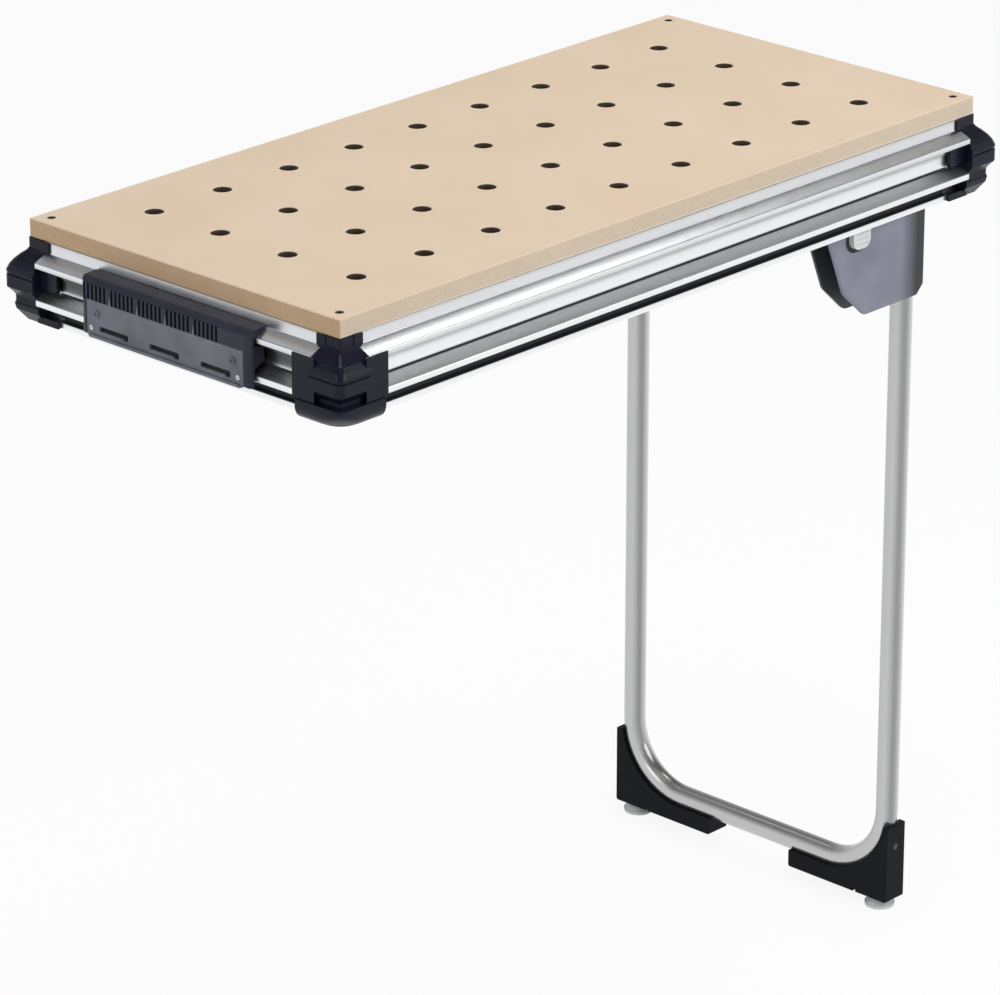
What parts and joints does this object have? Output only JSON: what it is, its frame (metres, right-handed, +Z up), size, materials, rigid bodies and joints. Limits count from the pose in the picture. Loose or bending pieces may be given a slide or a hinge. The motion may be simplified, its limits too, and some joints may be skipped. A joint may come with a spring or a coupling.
{
  "type": "workbench table extension",
  "caption": "Perforated bench extension in a ridged aluminium frame, hooked to a bench at one end and carried by a folding tube leg with levelling feet at the other.",
  "frame": {"origin": "centre of the perforated board's top face", "axes": "+X along the board towards the end with the leg, +Y to the rear, +Z up"},
  "size_m": [1.0165, 0.482, 0.95],
  "materials": {
    "board": "pressed fibreboard, matt, bare",
    "aluminium": "anodised, satin",
    "tube": "anodised tube, satin",
    "dark_plastic": "moulded, fine texture",
    "grey_plastic": "moulded, fine texture",
    "housing_plastic": "moulded, smooth matt",
    "shoe_plastic": "moulded, matt",
    "pale_plastic": "moulded, smooth",
    "steel": "zinc plated",
    "dark_steel": "powder coated",
    "brass": "turned",
    "rubber": "moulded"
  },
  "bodies": {
    "root": {"worktop_board": "board", "board_screws": "steel", "board_screw_inserts": "brass", "front_rail": "aluminium", "rear_rail": "aluminium", "coupling_end_rail": "aluminium", "leg_end_rail": "aluminium", "corner_front_left": "dark_plastic", "corner_front_right": "dark_plastic", "corner_rear_right": "dark_plastic", "corner_rear_left": "dark_plastic", "corner_screws": "steel", "coupling_hood": "dark_plastic", "coupling_plate": "grey_plastic", "coupling_clamp_bar": "steel", "coupling_screws": "dark_steel", "coupling_set_screws": "steel", "side_plate_screws": "steel", "housing_screws": "steel", "hinge_housing_front": "housing_plastic", "hinge_side_plate_front": "dark_steel", "leg_stop_pad_front": "rubber", "pivot_bolt_front": "steel", "hinge_housing_rear": "housing_plastic", "hinge_side_plate_rear": "dark_steel", "leg_stop_pad_rear": "rubber", "pivot_bolt_rear": "steel"},
    "leg": {"leg_tube": "tube", "pivot_sleeves": "steel", "leg_end_caps": "shoe_plastic", "foot_shoe_front": "shoe_plastic", "foot_shoe_rear": "shoe_plastic", "shoe_screws": "steel", "foot_inserts": "brass"},
    "latch_front": {"leg_latch_front": "pale_plastic"},
    "washer_front": {"knob_washer_front": "steel"},
    "knob_front": {"clamp_knob_front": "dark_plastic"},
    "pad_front": {"foot_pad_front": "pale_plastic"},
    "stud_front": {"foot_stud_front": "steel"},
    "latch_rear": {"leg_latch_rear": "pale_plastic"},
    "washer_rear": {"knob_washer_rear": "steel"},
    "knob_rear": {"clamp_knob_rear": "dark_plastic"},
    "pad_rear": {"foot_pad_rear": "pale_plastic"},
    "stud_rear": {"foot_stud_rear": "steel"}
  },
  "joints": [
    {"name": "leg_fold", "type": "hinge", "parent": "root", "child": "leg", "pos_m": [0.408, 0, -0.093], "axis": [0, 1, 0], "range_deg": [0, 90]},
    {"name": "latch_slide_front", "type": "slide", "parent": "root", "child": "latch_front", "axis": [0, 1, 0], "range_m": [0, 0.007]},
    {"name": "washer_slide_front", "type": "slide", "parent": "root", "child": "washer_front", "axis": [0, 1, 0], "range_m": [0, 0.0015]},
    {"name": "knob_turn_front", "type": "hinge", "parent": "washer_front", "child": "knob_front", "pos_m": [0.408, 0, -0.093], "axis": [0, 1, 0], "range_deg": [0, 360]},
    {"name": "pad_slide_front", "type": "slide", "parent": "leg", "child": "pad_front", "axis": [0, 0, -1], "range_m": [0, 0.01]},
    {"name": "stud_turn_front", "type": "hinge", "parent": "pad_front", "child": "stud_front", "pos_m": [0.408, -0.184, -0.95], "axis": [0, 0, -1], "range_deg": [0, 2400.01]},
    {"name": "latch_slide_rear", "type": "slide", "parent": "root", "child": "latch_rear", "axis": [0, -1, 0], "range_m": [0, 0.007]},
    {"name": "washer_slide_rear", "type": "slide", "parent": "root", "child": "washer_rear", "axis": [0, -1, 0], "range_m": [0, 0.0015]},
    {"name": "knob_turn_rear", "type": "hinge", "parent": "washer_rear", "child": "knob_rear", "pos_m": [0.408, 0, -0.093], "axis": [0, -1, 0], "range_deg": [0, 360]},
    {"name": "pad_slide_rear", "type": "slide", "parent": "leg", "child": "pad_rear", "axis": [0, 0, -1], "range_m": [0, 0.01]},
    {"name": "stud_turn_rear", "type": "hinge", "parent": "pad_rear", "child": "stud_rear", "pos_m": [0.408, 0.184, -0.95], "axis": [0, 0, -1], "range_deg": [0, 2400.01]}
  ],
  "couplings": [
    {"joint": "knob_turn_front", "follows": "washer_slide_front", "rad_per_m": 4188.8},
    {"joint": "stud_turn_front", "follows": "pad_slide_front", "rad_per_m": 4188.8},
    {"joint": "knob_turn_rear", "follows": "washer_slide_rear", "rad_per_m": 4188.8},
    {"joint": "stud_turn_rear", "follows": "pad_slide_rear", "rad_per_m": 4188.8}
  ]
}
